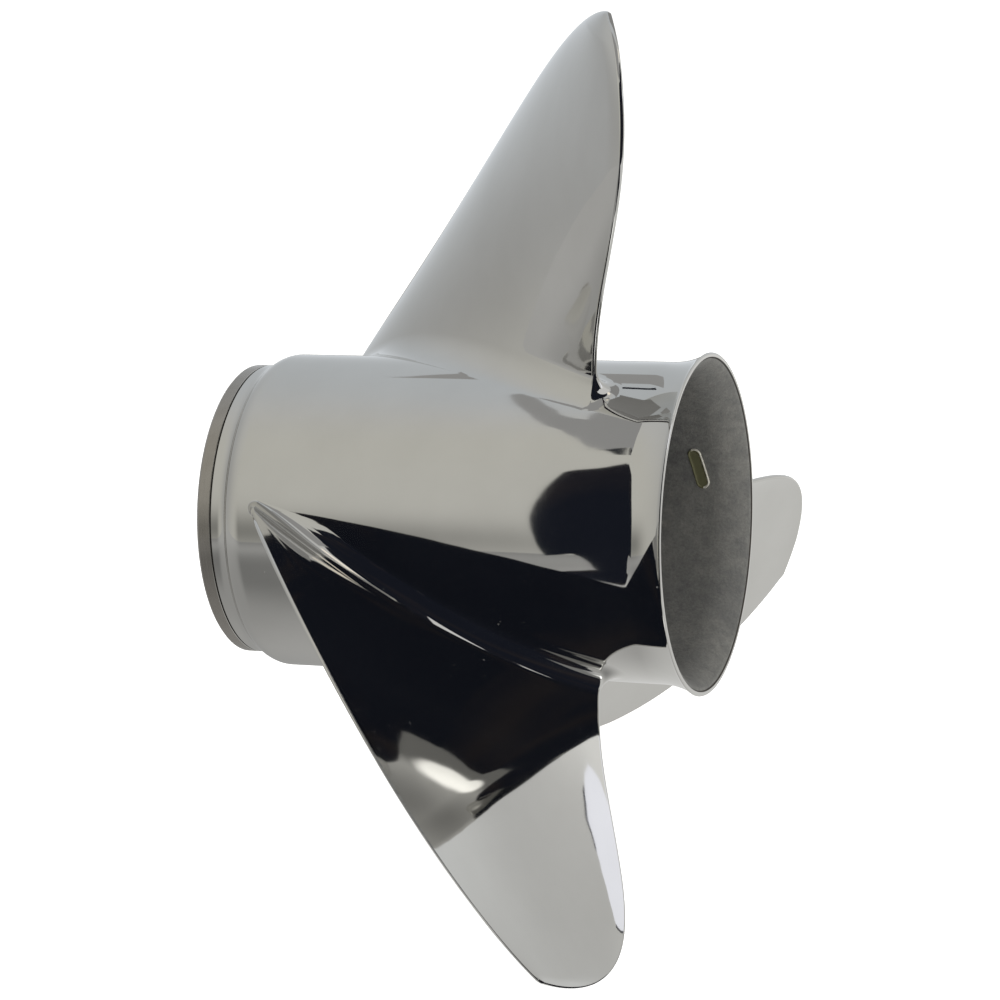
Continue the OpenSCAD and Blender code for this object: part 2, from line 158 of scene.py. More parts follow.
def add(tree, kind, settings=None, inputs=None):
    """Add one node; a tuple (node, output name) as an input makes a link, anything else is a value."""
    node = tree.nodes.new(kind)
    for key, value in (settings or {}).items():
        setattr(node, key, value)
    for key, value in (inputs or {}).items():
        if isinstance(value, tuple) and isinstance(value[0], bpy.types.Node):
            tree.links.new(value[0].outputs[value[1]], node.inputs[key])
        else:
            node.inputs[key].default_value = value
    return node


def ramp(node, *stops):
    """Set a colour ramp's stops from (place, brightness) pairs."""
    elements = node.color_ramp.elements
    while len(elements) < len(stops):
        elements.new(0.5)
    for element, (place, value) in zip(elements, stops):
        element.position = place
        element.color = (value, value, value, 1.0)
    return node


def new_material(name):
    """An empty node material with its output node and object coordinates in metres."""
    material = bpy.data.materials.new(name)
    material.use_nodes = True
    tree = material.node_tree
    tree.nodes.clear()
    output = add(tree, "ShaderNodeOutputMaterial")
    place = add(tree, "ShaderNodeTexCoord")
    return material, tree, output, (place, "Object")


def per_mm(size):
    """Noise scale, in repeats per metre, for a feature of this size in millimetres."""
    return 1 / (size * MM)


# %% [markdown]
# The casting is stainless steel, ground and then buffed by hand to a mirror.
# A buffed mirror is never quite flat: slow waves a couple of centimetres long bend the reflections,
# and a haze of hair-fine wheel marks widens the highlights a little. Real marks are a few hundredths of
# a millimetre wide; they are drawn at half a millimetre so that they show. A few specks of dust and tiny
# pits break the perfect mirror, which shows most where it reflects something dark.
# A plain metal of one roughness would look like a computer's chrome ball, so each of these has its own noise.

# %% Mirror polished stainless steel


def polished_stainless():
    """Mirror with slow waves, fine marks and dust: to the eye, sharp reflections that wander a little."""
    material, tree, output, place = new_material("polished_stainless_buffed")
    waves = add(tree, "ShaderNodeTexNoise", None, {
        "Vector": place, "Scale": per_mm(26), "Detail": 1.5, "Roughness": 0.4,
    })
    wheel_lie = add(tree, "ShaderNodeMapping", None, {"Vector": place, "Scale": (1.0, 0.06, 0.06)})
    wheel_marks = add(tree, "ShaderNodeTexNoise", None, {
        "Vector": (wheel_lie, "Vector"), "Scale": per_mm(0.5), "Detail": 3.0, "Roughness": 0.7,
    })
    haze = add(tree, "ShaderNodeTexNoise", None, {
        "Vector": place, "Scale": per_mm(45), "Detail": 4.0, "Roughness": 0.6,
    })
    haze_range = add(tree, "ShaderNodeMapRange", None, {
        "Value": (haze, "Fac"), "From Min": 0.35, "From Max": 0.7, "To Min": 0.02, "To Max": 0.05,
    })
    marks = add(tree, "ShaderNodeMath", {"operation": "MULTIPLY_ADD"}, {
        0: (wheel_marks, "Fac"), 1: 0.02, 2: (haze_range, "Result"),
    })
    specks = add(tree, "ShaderNodeTexNoise", None, {"Vector": place, "Scale": per_mm(1.4), "Detail": 1.0})
    dust = ramp(add(tree, "ShaderNodeValToRGB", None, {"Fac": (specks, "Fac")}), (0.8, 0.0), (0.9, 1.0))
    dusty = add(tree, "ShaderNodeMath", {"operation": "MULTIPLY_ADD"}, {
        0: (dust, "Color"), 1: 0.3, 2: (marks, "Value"),
    })
    bare = add(tree, "ShaderNodeMath", {"operation": "MULTIPLY_ADD"}, {0: (dust, "Color"), 1: -0.4, 2: 1.0})
    tone = add(tree, "ShaderNodeMix", {"data_type": "RGBA"}, {
        "Factor": (haze, "Fac"), "A": linear("#CDCCC8"), "B": linear("#DEDDDA"),
    })
    wave_bump = add(tree, "ShaderNodeBump", None, {
        "Height": (waves, "Fac"), "Strength": 0.25, "Distance": 0.5 * MM,
    })
    shader = add(tree, "ShaderNodeBsdfPrincipled", None, {
        "Base Color": (tone, "Result"), "Metallic": (bare, "Value"),
        "Roughness": (dusty, "Value"), "Normal": (wave_bump, "Normal"),
    })
    tree.links.new(shader.outputs["BSDF"], output.inputs["Surface"])
    return material


# %% [markdown]
# Inside, the casting is only bead blasted, so the wall is a soft dark grey with a fine grain
# and cloudy stains from the casting shell. A bump map of the grain is enough here,
# because the grain is finer than the mesh could carry. Glass beads leave dimples of a few tenths of
# a millimetre; they are drawn at nearly a millimetre so that they show.

# %% Bead blasted casting


def blasted_casting():
    """Dull grey skin with a fine grain: to the eye, a soft wall that makes the lip look bright."""
    material, tree, output, place = new_material("cast_stainless_bead_blasted")
    grain = add(tree, "ShaderNodeTexNoise", None, {
        "Vector": place, "Scale": per_mm(0.9), "Detail": 4.0, "Roughness": 0.7,
    })
    cloud = add(tree, "ShaderNodeTexNoise", None, {
        "Vector": place, "Scale": per_mm(22), "Detail": 5.0, "Roughness": 0.6,
    })
    mottle = add(tree, "ShaderNodeTexNoise", None, {
        "Vector": place, "Scale": per_mm(3.5), "Detail": 3.0, "Roughness": 0.6,
    })
    patches = add(tree, "ShaderNodeMath", {"operation": "MULTIPLY"}, {0: (cloud, "Fac"), 1: (mottle, "Fac")})
    spread = ramp(add(tree, "ShaderNodeValToRGB", None, {"Fac": (patches, "Value")}), (0.12, 0.0), (0.4, 1.0))
    tone = add(tree, "ShaderNodeMix", {"data_type": "RGBA"}, {
        "Factor": (spread, "Color"), "A": linear("#747472"), "B": linear("#8B8A85"),
    })
    speckle = ramp(add(tree, "ShaderNodeValToRGB", None, {"Fac": (grain, "Fac")}), (0.3, 0.7), (0.7, 1.0))
    colour = add(tree, "ShaderNodeMix", {"data_type": "RGBA", "blend_type": "MULTIPLY"}, {
        "Factor": 1.0, "A": (tone, "Result"), "B": (speckle, "Color"),
    })
    rough = add(tree, "ShaderNodeMapRange", None, {
        "Value": (cloud, "Fac"), "To Min": 0.78, "To Max": 0.62,
    })
    bump = add(tree, "ShaderNodeBump", None, {
        "Height": (grain, "Fac"), "Strength": 0.5, "Distance": 0.25 * MM,
    })
    shader = add(tree, "ShaderNodeBsdfPrincipled", None, {
        "Base Color": (colour, "Result"), "Metallic": 0.45,
        "Roughness": (rough, "Result"), "Normal": (bump, "Normal"),
    })
    tree.links.new(shader.outputs["BSDF"], output.inputs["Surface"])
    return material


# %% [markdown]
# Turned metal carries the lathe's feed marks: fine rings around the shaft, one per turn of the tool.
# The real spacing is about a tenth of a millimetre; it is drawn at half a millimetre so that it shows.
# Noise squeezed along the shaft gives such rings on any turned piece, whatever its radius, without a UV map.

# %% Turned metals


def turned_metal(name, light_hex, dark_hex, rough_low, rough_high, metallic=1.0):
    """Metal with lathe rings and slow stains: to the eye, a satin sheen; tarnish makes it less metallic."""
    material, tree, output, place = new_material(name)
    feed_lie = add(tree, "ShaderNodeMapping", None, {"Vector": place, "Scale": (1.0, 0.02, 0.02)})
    feed = add(tree, "ShaderNodeTexNoise", None, {
        "Vector": (feed_lie, "Vector"), "Scale": per_mm(0.5), "Detail": 2.0, "Roughness": 0.6,
    })
    stain = add(tree, "ShaderNodeTexNoise", None, {
        "Vector": place, "Scale": per_mm(9), "Detail": 5.0, "Roughness": 0.65,
    })
    colour = add(tree, "ShaderNodeMix", {"data_type": "RGBA"}, {
        "Factor": (stain, "Fac"), "A": linear(dark_hex), "B": linear(light_hex),
    })
    rough = add(tree, "ShaderNodeMapRange", None, {
        "Value": (feed, "Fac"), "From Min": 0.3, "From Max": 0.7, "To Min": rough_low, "To Max": rough_high,
    })
    bump = add(tree, "ShaderNodeBump", None, {
        "Height": (feed, "Fac"), "Strength": 0.3, "Distance": 0.05 * MM,
    })
    shader = add(tree, "ShaderNodeBsdfPrincipled", None, {
        "Base Color": (colour, "Result"), "Metallic": metallic,
        "Roughness": (rough, "Result"), "Normal": (bump, "Normal"),
    })
    tree.links.new(shader.outputs["BSDF"], output.inputs["Surface"])
    return material


# %% [markdown]
# Rubber and nylon are the two soft materials of the hub. Moulded rubber is nearly black with a dusty bloom,
# and natural nylon is a milky white with a soft satin skin. The painted shade in the groove and along the lip
# is a dark dull skin much like the rubber.
# All three are a dull skin over one colour, so one function with its own colours serves for each.
# The skin's grain is drawn at 0.8 mm, coarser than a mould leaves it, so that it shows.

# %% Moulded rubber and nylon


def moulded_plastic(name, light_hex, dark_hex, rough_low, rough_high, ior):
    """Soft material with a cloudy bloom and a fine skin: to the eye, a broad dull highlight."""
    material, tree, output, place = new_material(name)
    bloom = add(tree, "ShaderNodeTexNoise", None, {
        "Vector": place, "Scale": per_mm(7), "Detail": 6.0, "Roughness": 0.65,
    })
    skin = add(tree, "ShaderNodeTexNoise", None, {
        "Vector": place, "Scale": per_mm(0.8), "Detail": 2.0,
    })
    colour = add(tree, "ShaderNodeMix", {"data_type": "RGBA"}, {
        "Factor": (bloom, "Fac"), "A": linear(dark_hex), "B": linear(light_hex),
    })
    rough = add(tree, "ShaderNodeMapRange", None, {
        "Value": (bloom, "Fac"), "To Min": rough_low, "To Max": rough_high,
    })
    bump = add(tree, "ShaderNodeBump", None, {
        "Height": (skin, "Fac"), "Strength": 0.25, "Distance": 0.1 * MM,
    })
    shader = add(tree, "ShaderNodeBsdfPrincipled", None, {
        "Base Color": (colour, "Result"), "IOR": ior,
        "Roughness": (rough, "Result"), "Normal": (bump, "Normal"),
    })
    tree.links.new(shader.outputs["BSDF"], output.inputs["Surface"])
    return material


# %% [markdown]
# Each finish is made once and shared by the pieces that have it, as one box of polish serves a whole bench.
# The two numbers after the colours are the smoothest and the roughest spot; plastics also get their IOR.

# %% Make the finishes
# The mirror carries the picture of the studio, and the blasted skin stays dull beside it.
mirror = polished_stainless()
blasted = blasted_casting()
# Bright lathe-turned steel: clear highlights on the nut set.
turned = turned_metal("stainless_fine_turned", "#C9C8C5", "#B4B3B1", 0.16, 0.28)
# Yellow and brown metals: they tell the sleeve and the washers apart in the dark bore.
brass = turned_metal("brass_machined", "#D9B56A", "#B98F45", 0.2, 0.36)
bronze = turned_metal("bronze_turned", "#B98A55", "#8E6336", 0.26, 0.42)
# A phosphated ring is nearly black and keeps a dull shine.
spring = turned_metal("spring_steel_phosphated", "#5A5B5E", "#424347", 0.35, 0.5)
# The front rim is left as turned, so it looks greyer and softer than the mirror beside it.
rim_metal = turned_metal("stainless_rim_turned", "#B5B1AB", "#99948D", 0.18, 0.3)
# Tarnish turns the tag olive and dull; a painted highlight, a near-white finish on the rim's aft side, draws
# its thin bright line.
tag_metal = turned_metal("brass_tag_tarnished", "#7B7959", "#5A5941", 0.45, 0.6, metallic=0.45)
tag_highlight = turned_metal("brass_tag_painted_highlight", "#F4F1E6", "#DCD8C8", 0.3, 0.4, metallic=0.5)
# Black rubber swallows the light, and nylon is the palest piece of the hub.
rubber = moulded_plastic("rubber_moulded_black", "#2B2B2D", "#161617", 0.55, 0.75, 1.52)
nylon = moulded_plastic("nylon_natural", "#E4E1D6", "#D6D2C4", 0.35, 0.5, 1.53)
# Painted shade in the groove and a painted dark reflection along the lip's inner edge: a dark dull finish
# draws a thin dark line there.
groove_lip_shade = moulded_plastic("painted_shade_dark", "#3A342C", "#1E1B17", 0.6, 0.8, 1.5)
metals = (mirror, blasted, turned, brass, bronze, spring, rim_metal, tag_metal, tag_highlight)
print("finishes:", [finish.name for finish in metals + (rubber, nylon, groove_lip_shade)])

# %% [markdown]
# The barrel is a turned shape, so its whole form is one outline carried once around the shaft.
# The outline goes from the front rim over the groove, the rounded shoulder and the plain length
# to the flared lip, and comes back along the bore. A lathe would cut it the same way.
# Corners are broken with small arcs, because a real edge always catches a line of light.

# %% The barrel's outline


def arc(centre_r, centre_x, radius, start_deg, stop_deg, steps):
    """Points (radius, place along the shaft) on a circle; 0 degrees points away from the shaft, 90 aft."""
    a = np.radians(np.linspace(start_deg, stop_deg, steps))
    return np.stack((centre_r + radius * np.cos(a), centre_x + radius * np.sin(a)), axis=-1)


def line(start, stop, steps):
    """Evenly spaced points from start to stop."""
    return np.linspace(start, stop, steps)


groove_x = front_x + rim_width
land_x = groove_x + groove_width
shoulder_x = land_x + land_width
shoulder_deg = math.degrees(math.acos(1 - (barrel_r - rim_r) / shoulder_radius))
shoulder_end = shoulder_x + shoulder_radius * math.sin(math.radians(shoulder_deg))
foot_radius = 5.0
foot_rise = rim_r + foot_radius - (barrel_r - shoulder_radius)
foot_deg = math.degrees(math.acos(foot_rise / (shoulder_radius + foot_radius)))
foot_x = shoulder_end - (shoulder_radius + foot_radius) * math.sin(math.radians(foot_deg))
flare_deg = math.degrees(math.acos(1 - (lip_r - barrel_r) / flare_radius))
flare_len = flare_radius * math.sin(math.radians(flare_deg))
flare_x = rear_x - flare_len
inner_rise = lip_r - lip_thick - bore_r
inner_flare_radius = (flare_len ** 2 + inner_rise ** 2) / (2 * inner_rise)
inner_flare_deg = math.degrees(math.asin(flare_len / inner_flare_radius))
# Broken corners, and short gaps in which an arc runs on into the next stretch without a crease.
edge_break = 0.35
bevel_soft = 0.1
groove_soft = 0.12
groove_draft = 0.06
bore_soft = 0.5
join_gap = 0.3
straight_gap = 1.0
foot_join_deg = 2
flare_join_deg = 3
lip_edge = 0.7
lip_edge_deg = 20
lip_round = 0.9
lip_round_deg = 150
LIP_EDGE_STEPS = 8
LIP_SHADE_STEPS = 5


def barrel_outline():
    """Closed outline of the barrel's wall, front to rear and back, and the number of its first bore point.

    Arcs and straight stretches follow each other; the last number of each is how many points it gets.
    """
    lip_in = lip_r - lip_thick
    bevel_end = front_x + rim_bevel
    collar_end = front_x + collar_bore_len
    skin = np.concatenate((
        arc(collar_bore_r + edge_break, front_x + edge_break, edge_break, 180, 270, 6),
        line((rim_r - rim_bevel, front_x), (rim_r - bevel_soft, bevel_end - bevel_soft), 4),
        line((rim_r, bevel_end), (rim_r, groove_x - groove_soft), 8),
        line((rim_r - groove_soft, groove_x), (rim_r - groove_depth, groove_x + groove_draft), 4),
        line((rim_r - groove_depth, land_x - groove_draft), (rim_r - groove_soft, land_x), 4),
        line((rim_r, land_x + groove_soft), (rim_r, foot_x - join_gap), 6),
        arc(rim_r + foot_radius, foot_x, foot_radius, 180, 180 - foot_deg, 10),
        arc(barrel_r - shoulder_radius, shoulder_end, shoulder_radius, foot_join_deg - foot_deg, 0, 24),
        line((barrel_r, shoulder_end + straight_gap), (barrel_r, flare_x - straight_gap), 60),
        arc(barrel_r + flare_radius, flare_x, flare_radius, 180, 180 - flare_deg + flare_join_deg, 24),
        arc(lip_r - lip_edge, rear_x - lip_edge, lip_edge, lip_edge_deg, 90, 8),
    ))
    inner_start_deg = 180 - inner_flare_deg + flare_join_deg
    bore = np.concatenate((
        arc(lip_in + lip_round, rear_x - lip_round, lip_round, 90, lip_round_deg, LIP_EDGE_STEPS + 1),
        arc(bore_r + inner_flare_radius, flare_x, inner_flare_radius, inner_start_deg, 180, 20),
        line((bore_r, flare_x - straight_gap), (bore_r, shoulder_end), 50),
        line((bore_r - bore_soft, shoulder_end - 2 * join_gap), (collar_bore_r, collar_end), 8),
        line((collar_bore_r, collar_end - join_gap), (collar_bore_r, front_x + 2 * join_gap), 6),
    ))
    return np.concatenate((skin, bore)), len(skin)


outline, bore_start = barrel_outline()
print(f"outline of {len(outline)} points; shoulder to {shoulder_end:.1f} mm, flare from {flare_x:.1f} mm")

# %% [markdown]
# The outline is carried around the shaft in even steps. The outside takes the mirror finish,
# the rim keeps its lathe marks, and the bore keeps the blasted skin.
# The groove and the inner edge of the lip carry painted shade, a thin dark line of a dull finish.
# A screw modifier could spin the outline too, but a grid tells at once which row of faces gets which finish.

# %% The exhaust barrel
AROUND = 256


def turned_surface(outline_points, around):
    """Grid of points: outline point (radius r, place x) turned by angle a gives (x, -r sin a, r cos a)."""
    angle = np.linspace(0, 2 * np.pi, around, endpoint=False)[None, :]
    r = outline_points[:, 0][:, None]
    x = outline_points[:, 1][:, None] + 0 * angle
    return np.stack((x, -r * np.sin(angle), r * np.cos(angle)), axis=-1)


barrel_grid = turned_surface(outline, AROUND)
rows = len(outline)
barrel_quads = ring_quads(rows, AROUND)
seam = np.arange(AROUND)
seam_next = (seam + 1) % AROUND
last = (rows - 1) * AROUND
seam_quads = np.stack((last + seam, last + seam_next, seam_next, seam), axis=-1)
barrel_faces = np.concatenate((barrel_quads, seam_quads))
face_row = np.concatenate((np.repeat(np.arange(rows - 1), AROUND), np.full(AROUND, rows - 1)))
row_x = outline[:, 1]
on_bore = face_row >= bore_start + LIP_EDGE_STEPS
face_x = row_x[face_row]
on_rim = (face_x < groove_x - groove_soft) & ~on_bore
# Painted shade: the groove and the lip's inner edge take the dark dull finish.
in_groove = (face_x >= groove_x) & (face_x < land_x - groove_draft / 2) & ~on_bore
in_lip = (face_row >= bore_start + LIP_EDGE_STEPS - LIP_SHADE_STEPS) & ~on_bore
barrel_slots = np.select((on_bore, on_rim, in_groove | in_lip), (1, 2, 3), 0)
barrel_finishes = [mirror, blasted, rim_metal, groove_lip_shade]
barrel = mesh_piece(
    "barrel_polished", barrel_grid, barrel_faces.tolist(), barrel_finishes, barrel_slots, sharp_deg=40)
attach(barrel, "propeller")
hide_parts("exhaust_barrel")

# %% [markdown]
# A blade's working face is a screw surface: each point moves along the shaft in proportion to its turn.
# Cut by a cylinder about the shaft and rolled flat, the blade shows a thin section with a flat face,
# a crowned back, a rounded leading edge and a small curl, the cup, at its trailing edge.
# The outline is two Bezier curves of angle against radius.
# Near the barrel the section swells into a fillet.
# Modelling such a blade by hand would leave dents, and a formula keeps every row of the mirror smooth.

# %% The blade's outline and section
helix = pitch / (2 * np.pi)
blade_x = 82.0
# Handles of the two outline curves, in degrees about the shaft from root to tip.
lead_handles = (-54.5, -50.5, -23.0, -3.0, 0.0)
trail_handles = (15.5, 9.5, 27.0, -1.0, 0.0)
# Millimetres aft at the tip: an even lean and a curl that grows with the square of the span.
rake_lean = 26.5
rake_curl = 7.5
root_thick = 9.5
tip_thick = 3.6
lead_thick_root = 1.6
lead_thick_tip = 0.8
trail_thick = 1.8
cup_depth = 0.6
cup_width = 7.0
cup_start = 0.4
root_fillet = 8.0
nose_fillet = 2.0
nose_run = 0.2
# Towards the tip the section thins once the chord is below tip_fade, and an edge keeps to its share.
tip_fade = 40.0
edge_share = 0.2
tip_gap = 0.06


def bezier(handles, t):
    """Bezier curve of a list of handles at t, by repeated mixing of neighbours."""
    level = [np.full_like(t, h) for h in handles]
    while len(level) > 1:
        level = [a + (b - a) * t for a, b in zip(level, level[1:])]
    return level[0]


def mix(a, b, t):
    """Blend from a at t = 0 to b at t = 1."""
    return a + (b - a) * t


def blade_outline(r):
    """Leading angle, trailing angle (degrees), span share and chord length at radius r."""
    share = np.maximum(0, (r - barrel_r) / (tip_r - barrel_r))
    t = 1 - np.sqrt(np.maximum(0, 1 - share))
    lead = bezier(lead_handles, t)
    trail = bezier(trail_handles, t)
    chord = np.radians(trail - lead) * np.hypot(np.maximum(r, barrel_r), helix)
    return lead, trail, share, chord


def blade_section(r, grow, side_steps, cap_steps):
    """Section loops at the radii r: distance s along the chord and y towards the back, one row per radius.

    The loop starts in the middle of the leading edge, runs over the back to the trailing edge and returns
    along the face. Half the thickness is an even taper between the edges plus a parabola; grow swells it,
    less so within nose_run of the leading edge.
    """
    lead, trail, share, chord = blade_outline(r)
    fade = np.minimum(1, chord / tip_fade)
    lead_half = np.minimum(mix(lead_thick_root, lead_thick_tip, share) / 2, edge_share * chord)
    trail_half = np.minimum(trail_thick / 2, edge_share * chord)
    bulge = fade * (mix(root_thick, tip_thick, share) - lead_half - trail_half)

    def spine(t):
        """Place along the chord, height of the middle line and half thickness at the share t of the chord.

        The cup lowers the middle line by the square of the nearness to the trailing edge.
        """
        edge = mix(lead_half, trail_half, t)
        half = edge + 2 * bulge * t * (1 - t)
        cup_reach = np.maximum(0, 1 - (1 - t) * chord / cup_width) ** 2
        cup = cup_depth * fade * np.minimum(1, share / cup_start) * cup_reach
        return mix(lead_half, chord - trail_half, t), half - edge - cup, half

    quarter = np.linspace(0, 1, cap_steps, endpoint=False)[None, :]
    along = (1 - np.cos(np.pi * np.linspace(0, 1, side_steps)))[None, :] / 2
    s_side, camber, half = spine(along)
    s_end, camber_end, half_end = spine(np.ones((1, 1)))
    s_start, camber_start, half_start = spine(np.zeros((1, 1)))
    nose_grow = grow * nose_fillet / root_fillet
    side_grow = mix(nose_grow, grow, np.minimum(1, along / nose_run))

    def cap(s_mid, y_mid, radius, from_deg, to_deg):
        """Points of a round edge: a circle about the edge's middle, between two angles."""
        a = np.radians(mix(from_deg, to_deg, quarter))
        return s_mid + radius * np.cos(a), y_mid + radius * np.sin(a)

    parts = [
        cap(s_start, camber_start, half_start + nose_grow, 180, 90),
        (s_side, camber + half + side_grow),
        cap(s_end, camber_end, half_end + grow, 90 - 90 / cap_steps, 0 - 90 / cap_steps),
        cap(s_end, camber_end, half_end + grow, 0 - 90 / cap_steps, -90),
        (s_side[:, ::-1], (camber - half - side_grow)[:, ::-1]),
        cap(s_start, camber_start, half_start + nose_grow, -90 - 90 / cap_steps, -180),
    ]
    s = np.concatenate([part[0] + 0 * r for part in parts], axis=1)
    y = np.concatenate([part[1] + 0 * r for part in parts], axis=1)
    return s, y


probe = np.array([[barrel_r], [(barrel_r + tip_r) / 2]])
print("chord at root and mid span, mm:", np.round(blade_outline(probe)[3].ravel(), 1))

# %% [markdown]
# The sections are wrapped back onto their cylinders and stacked from root to tip.
# The lowest rows run out flat along the barrel before they dive under it, so the fillet meets the barrel
# at the same slope and no seam shows in the mirror; over the shoulder they follow its curve down.

# %% The three blades
SIDE_STEPS = 56
CAP_STEPS = 6
FILLET_ROWS = 22
SPAN_ROWS = 120
# The lowest rows: how deep each lies under the barrel's skin, and how far it reaches beyond the fillet.
under_skin = np.array((1.2, 0.25, 0.05))
under_reach = np.array((1.5, 1.5, 0.9))
STEEPEST = 0.95


def barrel_skin_r(x):
    """Outer radius of the barrel at a place along the shaft, with the shoulder but no groove or flare."""
    drop = np.clip((shoulder_end - x) / shoulder_radius, 0, STEEPEST)
    return np.maximum(rim_r, barrel_r - shoulder_radius * (1 - np.sqrt(1 - drop ** 2)))


def blade_points(turn_deg):
    """Grid of points of one blade, turned by turn_deg about the shaft.

    A point at distance s along the chord and y towards the back lies on the cylinder of radius r
    at the angle lead + (s + y helix / r) / slant, and at x = line + helix lead + (s helix - y r) / slant.
    """
    a = np.radians(np.linspace(0, 90, FILLET_ROWS))
    t = np.linspace(0, 1, SPAN_ROWS + 1)[1:]
    span_r = mix(barrel_r + root_fillet, tip_r - tip_gap, 1 - (1 - t) ** 2)
    fillet_r = barrel_r + root_fillet * (1 - np.cos(a))
    r = np.concatenate((barrel_r - under_skin, fillet_r, span_r))[:, None]
    grow = np.concatenate((root_fillet + under_reach, root_fillet * (1 - np.sin(a)), 0 * t))[:, None]
    s, y = blade_section(r, grow, SIDE_STEPS, CAP_STEPS)
    lead, _, share, _ = blade_outline(r)
    slant = np.hypot(r, helix)
    turn = np.radians(lead + turn_deg) + (s + y * helix / r) / slant
    line_x = blade_x + rake_lean * share + rake_curl * share ** 2
    x = line_x + helix * np.radians(lead) + (s * helix - y * r) / slant
    near_root = np.clip(1 - (r - barrel_r) / root_fillet, 0, 1)
    seat_r = r - (barrel_r - barrel_skin_r(x)) * near_root
    return np.stack((x, -seat_r * np.sin(turn), seat_r * np.cos(turn)), axis=-1)


for number in range(blade_count):
    grid = blade_points(blade_phase + 360 / blade_count * number)
    blade_rows, blade_columns = grid.shape[:2]
    faces = ring_quads(blade_rows, blade_columns).tolist()
    faces += closing_faces(0, blade_columns, flip=True)
    faces += closing_faces((blade_rows - 1) * blade_columns, blade_columns, flip=False)
    blade = mesh_piece(f"blade_{number + 1}_polished", grid, faces, [mirror], sharp_deg=60)
    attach(blade, "propeller")
    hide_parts(f"blade_{number + 1}")

# %% [markdown]
# A small bare tag sits on the far wall of the bore, like a pressed tray with a rolled rim.
# Its outline is a round-ended bar. The rim is a short profile, carried around that outline and pulled in,
# and every point is then laid on the curved wall, so that no corner of the tag stands off it.
# The rim's aft side carries a painted highlight, a near-white finish, and the rest of the tag is tarnished
# dull.

# %% The bare tag
tag_len = 14.2
tag_width = 4.6
tag_x = rear_x - 16.3
tag_angle = math.radians(-86)
tag_slant = math.radians(-13)
# The tag's profile from its edge to its middle: inset from the edge and height off the wall.
tag_profile = np.array((
    (0.0, -0.3), (0.0, 0.1), (0.05, 0.28), (0.16, 0.4), (0.3, 0.44), (0.44, 0.4), (0.56, 0.26), (0.66, 0.12),
    (0.85, 0.06), (1.3, 0.05), (2.25, 0.05),
))
RIM_ROWS = 7
END_POINTS = 13
STRAIGHT_POINTS = 12
highlight_from = -0.5


def bar_loop(half_width, straight):
    """Closed loop (across, along) of a round-ended bar, from the middle of one end and back to it."""
    a = np.linspace(0, np.pi / 2, END_POINTS)
    side = np.linspace(straight / 2, -straight / 2, STRAIGHT_POINTS)[1:-1]
    across = half_width * np.concatenate((np.sin(a), np.ones_like(side), np.cos(a)))
    round_ends = straight / 2 + half_width * np.stack((np.cos(a), np.sin(a)))
    along = np.concatenate((round_ends[0], side, -round_ends[1]))
    return np.stack((np.append(across, -across[-2:0:-1]), np.append(along, along[-2:0:-1])), axis=-1)


def bore_skin_r(x):
    """Radius of the bore at a place along the shaft: plain, then growing along the flare's arc."""
    into = np.maximum(0, x - flare_x)
    return bore_r + inner_flare_radius - np.sqrt(inner_flare_radius ** 2 - into ** 2)


def tag_points():
    """Grid of points: a row is the bar outline, pulled in by the profile's inset and lifted by its height."""
    loops = np.stack([bar_loop(tag_width / 2 - inset, tag_len - tag_width) for inset in tag_profile[:, 0]])
    across, along = loops[..., 0], loops[..., 1]
    x = tag_x + across * math.cos(tag_slant) - along * math.sin(tag_slant)
    y = across * math.sin(tag_slant) + along * math.cos(tag_slant)
    r = bore_skin_r(x) - tag_profile[:, 1][:, None]
    z = np.sqrt(r ** 2 - y ** 2)
    turned_y = y * math.cos(tag_angle) - z * math.sin(tag_angle)
    turned_z = y * math.sin(tag_angle) + z * math.cos(tag_angle)
    return np.stack((x, turned_y, turned_z), axis=-1)


tag_grid = tag_points()
tag_rows, tag_columns = tag_grid.shape[:2]
tag_faces = ring_quads(tag_rows, tag_columns).tolist()
dull_row = np.arange(tag_rows - 1)[:, None] >= RIM_ROWS
# Painted highlight: rim rows on the aft side take the near-white finish; the floor and the other side take
# the tarnish.
no_highlight_side = bar_loop(tag_width / 2, tag_len - tag_width)[:, 0][None, :] < highlight_from
tag_slots = (dull_row | no_highlight_side).astype(int).ravel().tolist()
for start, flip in ((0, True), ((tag_rows - 1) * tag_columns, False)):
    ladder = closing_faces(start, tag_columns, flip)
    tag_faces += ladder
    tag_slots += [1] * len(ladder)
tag = mesh_piece("tag_tray", tag_grid, tag_faces, [tag_highlight, tag_metal], tag_slots, sharp_deg=70)
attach(tag, "propeller")
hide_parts("bare_tag")

# %% [markdown]
# Inside the barrel sit the hub tube and its ribs, the rubber cushion in its shell, the splined sleeve
# and the nut set. They are machined or moulded to plain shapes, so a rebuild would add nothing.
# They keep their CAD shapes and get their own finishes here.

# %% Finishes of the hub pieces
hub_finishes = {
    "inner_hub": blasted, "rib_1": blasted, "rib_2": blasted, "rib_3": blasted,
    "cushion_shell": bronze, "rubber_cushion": rubber, "retaining_ring": spring,
    "splined_sleeve": brass, "thrust_washer": bronze, "rear_spacer": turned,
    "tab_washer": turned, "prop_nut": turned, "nut_insert": nylon,
}
for name, finish in hub_finishes.items():
    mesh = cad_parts[name].data
    mesh.materials.clear()
    mesh.materials.append(finish)
print("dressed CAD nodes:", len(hub_finishes))

# %% [markdown]
# The camera stands where the photograph was taken from: a long lens, a little above and aft of the beam,
# tipped a few degrees. Its place and turn come from fitting the rims and blade edges.

